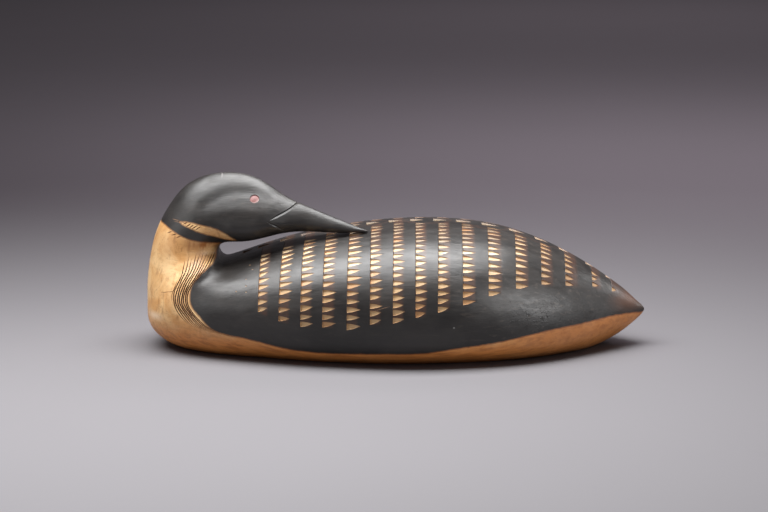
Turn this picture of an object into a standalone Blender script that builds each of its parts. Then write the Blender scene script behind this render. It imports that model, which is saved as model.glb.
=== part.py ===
"""Loon decoy carved from one block of wood.

A resting bird at life size: a boat-shaped body with a planed underside and a
pointed tail, a thick neck rising from the breast, and the head laid straight
back with its bill along the near side of the back. A slot open from side to
side parts the head from the back.

The form is one loft. Its cross-sections run from the tail tip along the body,
turn like a fan round the end of the slot, and run back through neck, head and
bill. Lengths are in metres, +Z is up, the bird faces -X, and the origin is on
the underside below the middle of the length.
"""

import math
from collections import namedtuple

import bmesh
import bpy
import numpy as np

# Driving dimensions
LENGTH = 0.580  # breast to tail tip
RING_STEP = 0.014  # longest step between the rings of points along the bird
RING_POINTS = 32  # points round each ring
TRACE_POINTS = 400  # points that a half section is traced with before it is evened out
PLANING_DEPTH = 0.05  # how far the planing cut reaches below the underside
PLANING_MARGIN = 0.02  # how far the cut reaches past breast and tail
PLANING_WIDTH = 0.30

# The loft's sections, from the tail tip to the bill tip. A place is (distance
# behind the breast, height above the floor). inner is the section's end on the
# back, the slot or the throat, and outer its end on the belly, the breast or
# the crown. Belly places below the floor are planed off. widest tells how far
# from inner to outer the section is widest. A square of 2 gives half an
# ellipse, more is boxier and less is more pointed. side is the shift towards
# the near side of the bird.
Section = namedtuple("Section", "inner outer half_width widest inner_square outer_square side")
TAIL = [
    Section((0.5800, 0.0424), (0.5800, 0.0402), 0.0010, 0.50, 2.0, 2.0, 0.0),
    Section((0.5790, 0.0440), (0.5790, 0.0384), 0.0027, 0.50, 2.0, 2.0, 0.0),
    Section((0.5740, 0.0490), (0.5740, 0.0322), 0.0080, 0.51, 1.9, 1.8, 0.0),
    Section((0.5630, 0.0592), (0.5630, 0.0223), 0.0178, 0.53, 1.9, 1.7, 0.0),
    Section((0.5430, 0.0752), (0.5430, 0.0082), 0.0345, 0.58, 1.9, 1.6, 0.0),
    Section((0.5150, 0.0942), (0.5150, -0.0035), 0.0550, 0.65, 1.95, 1.7, 0.0),
    Section((0.4830, 0.1122), (0.4830, -0.0070), 0.0765, 0.69, 2.0, 2.0, 0.0),
]
BACK = [
    Section((0.4240, 0.1356), (0.4240, -0.0110), 0.1050, 0.68, 2.05, 2.25, 0.0),
    Section((0.3600, 0.1462), (0.3600, -0.0120), 0.1210, 0.63, 2.05, 2.55, 0.0),
    Section((0.2900, 0.1462), (0.2900, -0.0120), 0.1260, 0.61, 2.05, 2.7, 0.0),
    Section((0.2250, 0.1386), (0.2250, -0.0110), 0.1190, 0.58, 2.05, 2.8, 0.0),
    Section((0.1700, 0.1268), (0.1700, -0.0095), 0.1090, 0.55, 2.1, 2.7, 0.0),
    Section((0.1300, 0.1148), (0.1300, -0.0080), 0.0980, 0.52, 2.1, 2.6, 0.0),
    Section((0.1050, 0.1063), (0.1030, -0.0068), 0.0895, 0.50, 2.2, 2.6, 0.0),
]
BREAST = [
    Section((0.0935, 0.1027), (0.0780, -0.0056), 0.0830, 0.47, 2.3, 2.5, 0.0),
    Section((0.0893, 0.1031), (0.0490, -0.0025), 0.0765, 0.45, 2.4, 2.3, 0.0),
    Section((0.0868, 0.1050), (0.0230, 0.0060), 0.0695, 0.42, 2.5, 2.2, 0.0),
    Section((0.0855, 0.1074), (0.0020, 0.0275), 0.0635, 0.39, 2.5, 2.1, 0.0),
    Section((0.0848, 0.1095), (0.0000, 0.0520), 0.0580, 0.37, 2.5, 2.1, 0.0),
    Section((0.0845, 0.1112), (0.0004, 0.0730), 0.0505, 0.39, 2.4, 2.1, 0.0),
    Section((0.0844, 0.1126), (0.0025, 0.0935), 0.0435, 0.43, 2.3, 2.1, 0.0),
]
NECK = [
    Section((0.0845, 0.1142), (0.0062, 0.1150), 0.0400, 0.46, 2.2, 2.1, 0.0),
    Section((0.0850, 0.1168), (0.0140, 0.1400), 0.0395, 0.47, 2.1, 2.0, 0.0),
    Section((0.0866, 0.1193), (0.0270, 0.1640), 0.0398, 0.43, 2.1, 1.8, 0.001),
    Section((0.0900, 0.1218), (0.0475, 0.1885), 0.0396, 0.38, 2.1, 1.55, 0.003),
    Section((0.0960, 0.1238), (0.0720, 0.2010), 0.0388, 0.32, 2.1, 1.4, 0.006),
]
HEAD = [
    Section((0.1060, 0.1248), (0.0970, 0.2049), 0.0382, 0.29, 2.1, 1.35, 0.010),
    Section((0.1220, 0.1268), (0.1230, 0.2018), 0.0364, 0.29, 2.1, 1.35, 0.014),
    Section((0.1420, 0.1318), (0.1450, 0.1916), 0.0312, 0.32, 2.0, 1.35, 0.0185),
    Section((0.1620, 0.1368), (0.1650, 0.1785), 0.0214, 0.36, 1.9, 1.4, 0.0225),
]
BILL = [
    Section((0.1800, 0.1388), (0.1820, 0.1708), 0.0146, 0.39, 1.8, 1.5, 0.026),
    Section((0.2070, 0.1388), (0.2080, 0.1608), 0.0104, 0.39, 1.8, 1.5, 0.030),
    Section((0.2350, 0.1387), (0.2360, 0.1498), 0.0064, 0.40, 1.9, 1.6, 0.034),
    Section((0.2480, 0.1392), (0.2485, 0.1453), 0.0040, 0.45, 2.0, 1.8, 0.0358),
    Section((0.2550, 0.1398), (0.2552, 0.1430), 0.0022, 0.50, 2.0, 2.0, 0.0368),
    Section((0.2572, 0.1408), (0.2573, 0.1419), 0.0007, 0.50, 2.0, 2.0, 0.0371),
]
SECTIONS = TAIL + BACK + BREAST + NECK + HEAD + BILL

# Colour, roughness and metallic value of the painted wood
PAINT = ((0.05, 0.048, 0.045, 1.0), 0.4, 0.0)


def spline(knots, values, places):
    """Natural cubic spline through the rows of values at knots, read at places."""
    step = np.diff(knots)
    slope = np.diff(values, axis=0) / step[:, None]
    matrix = np.eye(len(knots))
    bend = np.zeros_like(values)
    for i in range(1, len(knots) - 1):
        matrix[i, i - 1 : i + 2] = step[i - 1], 2 * (step[i - 1] + step[i]), step[i]
        bend[i] = 6 * (slope[i] - slope[i - 1])
    bend = np.linalg.solve(matrix, bend)
    at = np.clip(np.searchsorted(knots, places) - 1, 0, len(step) - 1)
    run = (places - knots[at])[:, None]
    gap = step[at][:, None]
    start = slope[at] - gap * (2 * bend[at] + bend[at + 1]) / 6
    return values[at] + run * (start + run * (bend[at] / 2 + run * (bend[at + 1] - bend[at]) / (6 * gap)))


def sections(longest_step):
    """Rows of section values through all the sections, with even steps between each two."""
    rows = np.array([[*s.inner, *s.outer, *s[2:]] for s in SECTIONS])
    middle = (rows[:, 0:2] + rows[:, 2:4]) / 2
    steps = np.linalg.norm(np.diff(middle, axis=0), axis=1)
    knots = np.concatenate([[0], np.cumsum(steps)])
    places = [0]
    for start, end in zip(knots, knots[1:]):
        count = math.ceil((end - start) / longest_step)
        places.extend(np.linspace(start, end, count + 1)[1:])
    return spline(knots, rows, np.array(places))


def ring(row, count):
    """count points round one section, evenly spaced, from its inner end by the near side."""
    inner, outer = row[0:2], row[2:4]
    half_width, widest, inner_square, outer_square, side = row[4:]
    along = np.cos(np.linspace(0, math.pi, TRACE_POINTS))
    square = np.where(along > 0, inner_square, outer_square)
    across = half_width * np.sqrt((1 - along**2).clip(0)) ** (2 / square)
    reach = np.abs(along) ** (2 / square)
    depth = np.where(along > 0, widest * (1 - reach), widest + (1 - widest) * reach)
    flat = inner + depth[:, None] * (outer - inner)
    trace = np.column_stack([flat[:, 0] - LENGTH / 2, -across, flat[:, 1]])
    steps = np.linalg.norm(np.diff(trace, axis=0), axis=1)
    length = np.concatenate([[0], np.cumsum(steps)])
    marks = np.linspace(0, length[-1], count // 2 + 1)
    near = np.column_stack([np.interp(marks, length, trace[:, i]) for i in range(3)])
    far = near[-2:0:-1] * (1, -1, 1)
    return np.vstack([near, far]) - (0, side, 0)


def loft(name):
    """A closed mesh through the sections, with a small cap on each tip."""
    made = bmesh.new()
    rings = []
    for row in sections(RING_STEP):
        rings.append([made.verts.new(point) for point in ring(row, RING_POINTS)])
    for here, there in zip(rings, rings[1:]):
        for i in range(RING_POINTS):
            j = (i + 1) % RING_POINTS
            made.faces.new((here[i], here[j], there[j], there[i]))
    made.faces.new(reversed(rings[0]))
    made.faces.new(rings[-1])
    bmesh.ops.recalc_face_normals(made, faces=made.faces)
    mesh = bpy.data.meshes.new(name)
    made.to_mesh(mesh)
    made.free()
    mesh.shade_smooth()
    return mesh


def planing_cutter(cutters):
    """A box whose top is the floor, for planing the underside of the bird flat."""
    bpy.ops.mesh.primitive_cube_add(size=1, location=(0, 0, -PLANING_DEPTH / 2))
    cutter = bpy.context.object
    cutter.name = "planing_cutter"
    cutter.scale = (LENGTH + 2 * PLANING_MARGIN, PLANING_WIDTH, PLANING_DEPTH)
    bpy.ops.object.transform_apply(location=False, rotation=False, scale=True)
    for owner in list(cutter.users_collection):
        owner.objects.unlink(cutter)
    cutters.objects.link(cutter)
    cutter.hide_render = True
    cutter.display_type = "WIRE"
    return cutter


def painted_wood():
    """The material of the painted block."""
    material = bpy.data.materials.new("painted wood")
    material.use_nodes = True
    shader = material.node_tree.nodes["Principled BSDF"]
    colour, roughness, metallic = PAINT
    shader.inputs["Base Color"].default_value = colour
    shader.inputs["Roughness"].default_value = roughness
    shader.inputs["Metallic"].default_value = metallic
    material.diffuse_color = colour
    return material


def main():
    for old in list(bpy.data.objects):
        bpy.data.objects.remove(old)
    decoy = bpy.data.collections.new("loon decoy")
    cutters = bpy.data.collections.new("cutters")
    for group in (decoy, cutters):
        bpy.context.scene.collection.children.link(group)
    bird = bpy.data.objects.new("loon_decoy", loft("loon_decoy"))
    bird.data.materials.append(painted_wood())
    decoy.objects.link(bird)
    planing = bird.modifiers.new("planed underside", "BOOLEAN")
    planing.operation = "DIFFERENCE"
    planing.object = planing_cutter(cutters)


main()
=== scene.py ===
"""Looks of the loon decoy: the carved block with its notches, cuts and paint, a floor, light and camera.

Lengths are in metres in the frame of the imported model: +Z up, the bird faces -X,
the bill lies on the near side (-Y), and the origin is on the underside below the
middle of the length. A place is often given as (distance behind the breast,
height above the floor), as in the side view of the bird.
"""

import math
import random
from collections import namedtuple

import bmesh
import bpy
import numpy as np
from mathutils import Matrix, Vector, noise
from mathutils.bvhtree import BVHTree


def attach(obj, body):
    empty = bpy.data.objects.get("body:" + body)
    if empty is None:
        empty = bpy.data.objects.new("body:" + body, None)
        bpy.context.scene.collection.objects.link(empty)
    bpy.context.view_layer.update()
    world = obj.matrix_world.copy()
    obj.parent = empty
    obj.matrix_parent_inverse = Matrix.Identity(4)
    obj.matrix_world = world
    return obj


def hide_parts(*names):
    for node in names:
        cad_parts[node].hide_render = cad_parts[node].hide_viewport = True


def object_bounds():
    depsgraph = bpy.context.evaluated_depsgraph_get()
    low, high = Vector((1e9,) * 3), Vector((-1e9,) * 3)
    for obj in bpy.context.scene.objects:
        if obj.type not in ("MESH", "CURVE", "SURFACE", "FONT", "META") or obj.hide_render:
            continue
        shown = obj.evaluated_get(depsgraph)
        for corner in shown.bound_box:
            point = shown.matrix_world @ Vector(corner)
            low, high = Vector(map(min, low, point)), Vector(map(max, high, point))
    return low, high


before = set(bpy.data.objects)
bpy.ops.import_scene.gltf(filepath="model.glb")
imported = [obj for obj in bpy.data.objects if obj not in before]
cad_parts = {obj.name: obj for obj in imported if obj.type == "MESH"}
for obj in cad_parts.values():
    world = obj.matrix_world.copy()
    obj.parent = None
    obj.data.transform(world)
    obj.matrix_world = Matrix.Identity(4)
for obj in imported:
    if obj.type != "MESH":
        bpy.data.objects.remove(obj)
cad_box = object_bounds()

# Fineness of the carved surface
LENGTH = 0.580  # breast to tail tip
RING_STEP = 0.0028  # longest step between the rings of points along the bird
RING_POINTS = 140  # points round each ring
TRACE_POINTS = 500  # points that a half section is traced with before it is evened out
KNIFE_MARKS = 0.00016  # height of the soft unevenness that the knife has left
KNIFE_SCALE = 55.0  # waves of it to a metre
SEED = 7

NEAR, FAR = -1, 1  # sides of the bird along Y
OUTSIDE = 0.5  # a distance from the middle that is outside the bird on every side
SHARP_ANGLE = math.radians(24)  # edges between faces at more than this look sharp

# The loft's sections, from the tail tip to the bill tip. inner is the section's
# end on the back, the slot or the throat, and outer its end on the belly, the
# breast or the crown. Belly places below the floor are planed off. widest tells
# how far from inner to outer the section is widest. A square of 2 gives half an
# ellipse, more is boxier and less is more pointed. side is the shift towards
# the near side of the bird.
Section = namedtuple("Section", "inner outer half_width widest inner_square outer_square side")
TAIL = [
    Section((0.5800, 0.0424), (0.5800, 0.0402), 0.0010, 0.50, 2.0, 2.0, 0.0),
    Section((0.5790, 0.0440), (0.5790, 0.0384), 0.0027, 0.50, 2.0, 2.0, 0.0),
    Section((0.5740, 0.0490), (0.5740, 0.0322), 0.0080, 0.51, 1.9, 1.8, 0.0),
    Section((0.5630, 0.0592), (0.5630, 0.0223), 0.0178, 0.53, 1.9, 1.7, 0.0),
    Section((0.5430, 0.0752), (0.5430, 0.0082), 0.0345, 0.58, 1.9, 1.6, 0.0),
    Section((0.5150, 0.0942), (0.5150, -0.0035), 0.0550, 0.65, 1.95, 1.7, 0.0),
    Section((0.4830, 0.1122), (0.4830, -0.0070), 0.0765, 0.69, 2.0, 2.0, 0.0),
]
BACK = [
    Section((0.4240, 0.1356), (0.4240, -0.0110), 0.1050, 0.68, 2.05, 2.25, 0.0),
    Section((0.3600, 0.1462), (0.3600, -0.0120), 0.1210, 0.63, 2.05, 2.55, 0.0),
    Section((0.2900, 0.1462), (0.2900, -0.0120), 0.1260, 0.61, 2.05, 2.7, 0.0),
    Section((0.2250, 0.1386), (0.2250, -0.0110), 0.1190, 0.58, 2.05, 2.8, 0.0),
    Section((0.1700, 0.1268), (0.1700, -0.0095), 0.1090, 0.55, 2.1, 2.7, 0.0),
    Section((0.1300, 0.1148), (0.1300, -0.0080), 0.0980, 0.52, 2.1, 2.6, 0.0),
    Section((0.1050, 0.1063), (0.1030, -0.0068), 0.0895, 0.50, 2.2, 2.6, 0.0),
]
BREAST = [
    Section((0.0935, 0.1027), (0.0780, -0.0056), 0.0830, 0.47, 2.3, 2.5, 0.0),
    Section((0.0893, 0.1031), (0.0490, -0.0025), 0.0765, 0.45, 2.4, 2.3, 0.0),
    Section((0.0868, 0.1050), (0.0230, 0.0060), 0.0695, 0.42, 2.5, 2.2, 0.0),
    Section((0.0855, 0.1074), (0.0020, 0.0275), 0.0635, 0.39, 2.5, 2.1, 0.0),
    Section((0.0848, 0.1095), (0.0000, 0.0520), 0.0580, 0.37, 2.5, 2.1, 0.0),
    Section((0.0845, 0.1112), (0.0004, 0.0730), 0.0505, 0.39, 2.4, 2.1, 0.0),
    Section((0.0844, 0.1126), (0.0025, 0.0935), 0.0435, 0.43, 2.3, 2.1, 0.0),
]
NECK = [
    Section((0.0845, 0.1142), (0.0062, 0.1150), 0.0400, 0.46, 2.2, 2.1, 0.0),
    Section((0.0850, 0.1168), (0.0140, 0.1400), 0.0395, 0.47, 2.1, 2.0, 0.0),
    Section((0.0866, 0.1193), (0.0270, 0.1640), 0.0398, 0.43, 2.1, 1.8, 0.001),
    Section((0.0900, 0.1218), (0.0475, 0.1885), 0.0396, 0.38, 2.1, 1.55, 0.003),
    Section((0.0960, 0.1238), (0.0720, 0.2010), 0.0388, 0.32, 2.1, 1.4, 0.006),
]
HEAD = [
    Section((0.1060, 0.1248), (0.0970, 0.2049), 0.0382, 0.29, 2.1, 1.35, 0.010),
    Section((0.1220, 0.1268), (0.1230, 0.2018), 0.0364, 0.29, 2.1, 1.35, 0.014),
    Section((0.1420, 0.1318), (0.1450, 0.1916), 0.0312, 0.32, 2.0, 1.35, 0.0185),
    Section((0.1620, 0.1368), (0.1650, 0.1785), 0.0214, 0.36, 1.9, 1.4, 0.0225),
]
BILL = [
    Section((0.1800, 0.1388), (0.1820, 0.1708), 0.0146, 0.39, 1.8, 1.5, 0.026),
    Section((0.2070, 0.1388), (0.2080, 0.1608), 0.0104, 0.39, 1.8, 1.5, 0.030),
    Section((0.2350, 0.1387), (0.2360, 0.1498), 0.0064, 0.40, 1.9, 1.6, 0.034),
    Section((0.2480, 0.1392), (0.2485, 0.1453), 0.0040, 0.45, 2.0, 1.8, 0.0358),
    Section((0.2550, 0.1398), (0.2552, 0.1430), 0.0022, 0.50, 2.0, 2.0, 0.0368),
    Section((0.2572, 0.1408), (0.2573, 0.1419), 0.0007, 0.50, 2.0, 2.0, 0.0371),
]
SECTIONS = TAIL + BACK + BREAST + NECK + HEAD + BILL

# Columns of notches, from the first behind the neck to the last before the
# tail. ridge and foot are how far behind the breast the column's base line is
# at the top and at the foot, low is the height of its lowest notch, length is
# how long its notches are, and rise how far their tips lie above their middle.
Column = namedtuple("Column", "ridge foot low length rise")
COLUMNS = [
    Column(0.1358, 0.1347, 0.0646, 0.0125, 0.0012),
    Column(0.1620, 0.1571, 0.0563, 0.0150, 0.0012),
    Column(0.1857, 0.1819, 0.0514, 0.0150, 0.0014),
    Column(0.2103, 0.2064, 0.0519, 0.0145, 0.0010),
    Column(0.2372, 0.2337, 0.0504, 0.0160, 0.0006),
    Column(0.2615, 0.2599, 0.0561, 0.0135, 0.0006),
    Column(0.2874, 0.2850, 0.0583, 0.0125, 0.0004),
    Column(0.3124, 0.3100, 0.0648, 0.0125, 0.0004),
    Column(0.3391, 0.3339, 0.0707, 0.0130, 0.0008),
    Column(0.3657, 0.3623, 0.0769, 0.0145, 0.0006),
    Column(0.3954, 0.3907, 0.0846, 0.0160, 0.0002),
    Column(0.4272, 0.4213, 0.0903, 0.0150, -0.0004),
    Column(0.4570, 0.4509, 0.0903, 0.0135, -0.0006),
    Column(0.4850, 0.4801, 0.0856, 0.0110, -0.0008),
    Column(0.5165, 0.5139, 0.0792, 0.0085, -0.0008),
    Column(0.5402, 0.5388, 0.0699, 0.0060, -0.0006),
]
RIDGE_ONLY = Column(0.1180, 0.1180, 0.0, 0.0100, 0.0)  # before the first column, on the ridge alone
NOTCH_PITCH = 0.0092  # along the girth
NOTCH_WIDTH = 0.0068
NOTCH_DEPTH = 0.0019
SHORT_DEPTH = 0.4  # share of the depth that a notch of no length would have
DEPTH_RUN = 0.024  # the length in which that share would rise by one
NOTCH_JITTER = 0.12  # of a notch's place, width, length and depth
RISE_JITTER = 0.0009
LOWEST_RISE = 0.0018  # how much more the tips of the two lowest notches rise
LOWEST_FULL = 6  # number of the column from which they do so in full
FIRST_GAP = 0.034  # from the ridge to the first notch of the first column
GAP_STEP = 0.0045  # how much less that is from column to column
RIDGE_GAP = 0.0165  # and how much it is at least
RIDGE_WIDTH = 0.0140  # the wider notch that straddles the ridge
RIDGE_LENGTH = 1.30  # its length in lengths of the column's other notches
RIDGE_SHIFT = 0.0065  # how far a column's base line bends forward on the ridge
RIDGE_BEND = 0.016  # the stretch along the girth in which it does
AXIS_HEIGHT = 0.060  # the line inside the body that the girth is traced from
GIRTH_STEPS = 240
GIRTH_END = math.radians(118)  # from straight up, past the lowest notch
RIDGE_TOP = 0.146  # where a column's base line is taken to be at its ridge end

# The line scored along each column's base
SCORE_WIDTH = 0.0009
SCORE_DEPTH = 0.0005
SCORE_START = 0.006  # from the ridge along the girth
SCORE_PAST = 0.005  # past the middle of the lowest notch

# Grooves that fan down the side of the neck and round the shoulder, as
# (height, distance of the front groove, distance of the back groove)
GROOVE_FAN = [
    (0.1180, 0.0500, 0.0790), (0.1080, 0.0485, 0.0745), (0.0970, 0.0466, 0.0685),
    (0.0870, 0.0426, 0.0611), (0.0771, 0.0382, 0.0556), (0.0692, 0.0364, 0.0537),
    (0.0623, 0.0370, 0.0542), (0.0526, 0.0417, 0.0613), (0.0439, 0.0487, 0.0704),
    (0.0371, 0.0579, 0.0815), (0.0314, 0.0735, 0.1025), (0.0275, 0.0870, 0.1190),
]
# Each groove's place across the fan, top and bottom height, width and depth
Groove = namedtuple("Groove", "place top bottom width depth")
GROOVES = [
    Groove(-0.11, 0.0880, 0.0610, 0.0008, 0.0005),
    Groove(0.00, 0.1100, 0.0370, 0.0015, 0.0011),
    Groove(0.14, 0.1140, 0.0345, 0.0016, 0.0012),
    Groove(0.29, 0.1120, 0.0330, 0.0016, 0.0012),
    Groove(0.43, 0.1175, 0.0310, 0.0017, 0.0013),
    Groove(0.57, 0.1178, 0.0295, 0.0017, 0.0013),
    Groove(0.70, 0.1172, 0.0285, 0.0016, 0.0012),
    Groove(0.83, 0.1178, 0.0280, 0.0016, 0.0012),
    Groove(0.94, 0.1165, 0.0278, 0.0014, 0.0010),
    Groove(1.05, 0.1150, 0.0830, 0.0013, 0.0009),
    Groove(1.16, 0.1165, 0.0960, 0.0012, 0.0008),
]

GROOVE_WANDER = 0.0003
GROOVE_WAVES = 260  # radians of the wander to a metre

# Soft valley between the crest of the shoulder and the neck
VALLEY = [
    (0.0616, 0.0852), (0.0716, 0.0901), (0.0794, 0.0920), (0.0881, 0.0937), (0.0971, 0.0962),
    (0.1073, 0.1000), (0.1182, 0.1037),
]

# Soft furrow below the brow, and the fullness of the cheek under it
BROW = [
    (0.0630, 0.1622), (0.0730, 0.1713), (0.0853, 0.1787), (0.1003, 0.1844), (0.1185, 0.1858),
    (0.1368, 0.1818), (0.1505, 0.1757),
]
CHEEK = [
    (0.0738, 0.1564), (0.0894, 0.1622), (0.1077, 0.1669), (0.1237, 0.1660), (0.1374, 0.1615),
    (0.1452, 0.1572),
]
# Soft relief on either side, as (line in side view, half width, height)
RELIEF = [(VALLEY, 0.0050, -0.0018), (BROW, 0.0066, -0.0012), (CHEEK, 0.0060, 0.0008)]

# Edge between black paint and bare wood, in side view
HEAD_EDGE = [
    (0.0100, 0.1490), (0.0215, 0.1477), (0.0310, 0.1435), (0.0455, 0.1359), (0.0591, 0.1310),
    (0.0741, 0.1283), (0.0903, 0.1252),
]
BODY_EDGE = [
    (0.0861, 0.1197), (0.0837, 0.1161), (0.0818, 0.1050), (0.0754, 0.1003), (0.0680, 0.0946),
    (0.0614, 0.0883), (0.0582, 0.0819), (0.0566, 0.0742), (0.0566, 0.0655), (0.0596, 0.0592),
    (0.0643, 0.0542), (0.0804, 0.0385), (0.1138, 0.0305), (0.1591, 0.0213), (0.1952, 0.0170),
    (0.2312, 0.0167), (0.2879, 0.0180), (0.3235, 0.0192), (0.3514, 0.0237), (0.3825, 0.0275),
    (0.4028, 0.0300), (0.4613, 0.0381), (0.5083, 0.0406), (0.5470, 0.0426), (0.5786, 0.0392),
]
CRESCENT_TOP = [
    (0.0420, 0.1520), (0.0501, 0.1526), (0.0642, 0.1503), (0.0803, 0.1470), (0.0939, 0.1411),
    (0.1088, 0.1302),
]
CRESCENT_BOTTOM = [
    (0.1078, 0.1296), (0.0984, 0.1296), (0.0846, 0.1338), (0.0693, 0.1383), (0.0572, 0.1431),
    (0.0478, 0.1468), (0.0412, 0.1500),
]
AROUND = [(0.62, 0.038), (0.62, 0.25), (-0.02, 0.25), (-0.02, 0.149)]  # the black side, outside the bird

# Short strokes of the knife on the throat, each from its lower to its upper end
DARK_STROKES = [
    ((0.0466, 0.1486), (0.0522, 0.1520)),
    ((0.0498, 0.1459), (0.0563, 0.1507)),
    ((0.0533, 0.1446), (0.0595, 0.1495)),
    ((0.0562, 0.1438), (0.0645, 0.1492)),
    ((0.0607, 0.1430), (0.0680, 0.1478)),
]
PALE_STROKES = [
    ((0.0328, 0.1536), (0.0432, 0.1527)),
    ((0.0352, 0.1517), (0.0428, 0.1509)),
]
NECK_STROKES = [
    ((0.0275, 0.1377), (0.0342, 0.1402)),
    ((0.0322, 0.1356), (0.0398, 0.1381)),
    ((0.0382, 0.1336), (0.0444, 0.1355)),
]
STROKE_SIZE = (0.0012, 0.0006)  # width and depth, as in the sizes of the other cuts below

# Eye
EYE_PLACE = (0.1285, 0.1786)
EYE_RADIUS = 0.0055
EYE_DEPTH = 0.0010
EYE_DOME = 0.0006
EYE_SIDES = 32
EYE_RIM = 1.1  # radius above the surface, in eye radii
EYE_FLOOR = 0.94  # radius of the floor
EYE_INNER = 0.5  # radius at which the dome has most of its height
EYE_MOST = 0.7  # how much of it
EYE_LIFT = 0.002  # how far the cutter stands out of the surface

# Cuts at the root of the bill: a line over its top from gape to gape, which
# sags between gape and top, and a fainter one from each gape down
BILL_TOP_CUT = ((0.1470, 0.1560), (0.1763, 0.1724))
BILL_HEART = (0.1580, -0.0217, 0.1622)  # distance behind the breast, side and height of a point inside
BILL_WRAP = math.radians(118)  # from the top to a gape, round that point
BILL_SAG = 0.0015
BILL_CUT_SIZE = (0.0034, 0.0013)
BILL_CUT_LEAN = -0.75  # the wall towards the head is steep
BILL_LOW_CUT = [(0.1428, 0.1548), (0.1532, 0.1484), (0.1629, 0.1408)]
BILL_LOW_SIZE = (0.0028, 0.0009)
MOUTH = [(0.1488, 0.1545), (0.1530, 0.1535), (0.1578, 0.1523), (0.1691, 0.1495), (0.1802, 0.1477)]
MOUTH_SIZE = (0.0009, 0.0005)

# Damage
CRACK = [
    (0.0194, 0.0716), (0.0250, 0.0722), (0.0300, 0.0738), (0.0356, 0.0755), (0.0395, 0.0790),
    (0.0440, 0.0800), (0.0475, 0.0831),
]
CRACK_SIZE = (0.0005, 0.0005)
NICK_BACK = 0.0902  # the nick in the crown
NICK_REACH = (0.003, -0.013)  # from and to, across the bird
NICK_SIZE = (0.0016, 0.0009)
SCRATCH = [(0.2625, 0.0672), (0.2730, 0.0708), (0.2835, 0.0739)]
SCRATCH_SIZE = (0.0006, 0.0003)
FLANK_PIT = (0.4162, 0.0734)
FLANK_PIT_SIZE = (0.0011, 0.0006)  # radius and depth

# Pits pricked where another column would start, in side view
PITS = [
    (0.1201, 0.0927), (0.1205, 0.0867), (0.1209, 0.0809), (0.1093, 0.0806), (0.1268, 0.1015),
    (0.1234, 0.1046),
]
PIT_SIZE = (0.0013, 0.0007)  # radius and depth
PIT_SIDES = 10
PIT_LIFT = 0.3  # how far a pit's cutter stands out of the surface, in radii

# Material slots of the block, by index
PAINTED, CUT, GROOVE, EYE = range(4)

# The photograph's camera
FRAME_WIDTH = 0.8935  # seen across the target
CAMERA_TARGET = (-0.01425, 0.0, 0.1044)
CAMERA_ELEVATION = math.radians(12)
CAMERA_DISTANCE = 2.2
SENSOR = 36.0


# Loft

def spline(knots, values, places):
    """Natural cubic spline through the rows of values at knots, read at places."""
    step = np.diff(knots)
    slope = np.diff(values, axis=0) / step[:, None]
    matrix = np.eye(len(knots))
    bend = np.zeros_like(values)
    for i in range(1, len(knots) - 1):
        matrix[i, i - 1 : i + 2] = step[i - 1], 2 * (step[i - 1] + step[i]), step[i]
        bend[i] = 6 * (slope[i] - slope[i - 1])
    bend = np.linalg.solve(matrix, bend)
    at = np.clip(np.searchsorted(knots, places) - 1, 0, len(step) - 1)
    run = (places - knots[at])[:, None]
    gap = step[at][:, None]
    start = slope[at] - gap * (2 * bend[at] + bend[at + 1]) / 6
    return values[at] + run * (start + run * (bend[at] / 2 + run * (bend[at + 1] - bend[at]) / (6 * gap)))


def curve(points, count):
    """count points on a smooth curve through the points, evenly spread along it."""
    points = np.array(points, float)
    knots = np.concatenate([[0], np.cumsum(np.linalg.norm(np.diff(points, axis=0), axis=1))])
    return spline(knots, points, np.linspace(0, knots[-1], count))


def sections(longest_step):
    """Rows of section values through all the sections, with even steps between each two."""
    rows = np.array([[*s.inner, *s.outer, *s[2:]] for s in SECTIONS])
    middle = (rows[:, 0:2] + rows[:, 2:4]) / 2
    steps = np.linalg.norm(np.diff(middle, axis=0), axis=1)
    knots = np.concatenate([[0], np.cumsum(steps)])
    places = [0]
    for start, end in zip(knots, knots[1:]):
        count = math.ceil((end - start) / longest_step)
        places.extend(np.linspace(start, end, count + 1)[1:])
    return spline(knots, rows, np.array(places))


def ring(row, count):
    """count points round one section, evenly spaced, from its inner end by the near side."""
    inner, outer = row[0:2], row[2:4]
    half_width, widest, inner_square, outer_square, side = row[4:]
    along = np.cos(np.linspace(0, math.pi, TRACE_POINTS))
    square = np.where(along > 0, inner_square, outer_square)
    across = half_width * np.sqrt((1 - along**2).clip(0)) ** (2 / square)
    reach = np.abs(along) ** (2 / square)
    depth = np.where(along > 0, widest * (1 - reach), widest + (1 - widest) * reach)
    flat = inner + depth[:, None] * (outer - inner)
    trace = np.column_stack([flat[:, 0] - LENGTH / 2, -across, flat[:, 1]])
    steps = np.linalg.norm(np.diff(trace, axis=0), axis=1)
    length = np.concatenate([[0], np.cumsum(steps)])
    marks = np.linspace(0, length[-1], count // 2 + 1)
    near = np.column_stack([np.interp(marks, length, trace[:, i]) for i in range(3)])
    far = near[-2:0:-1] * (1, -1, 1)
    return np.vstack([near, far]) - (0, side, 0)


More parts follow.
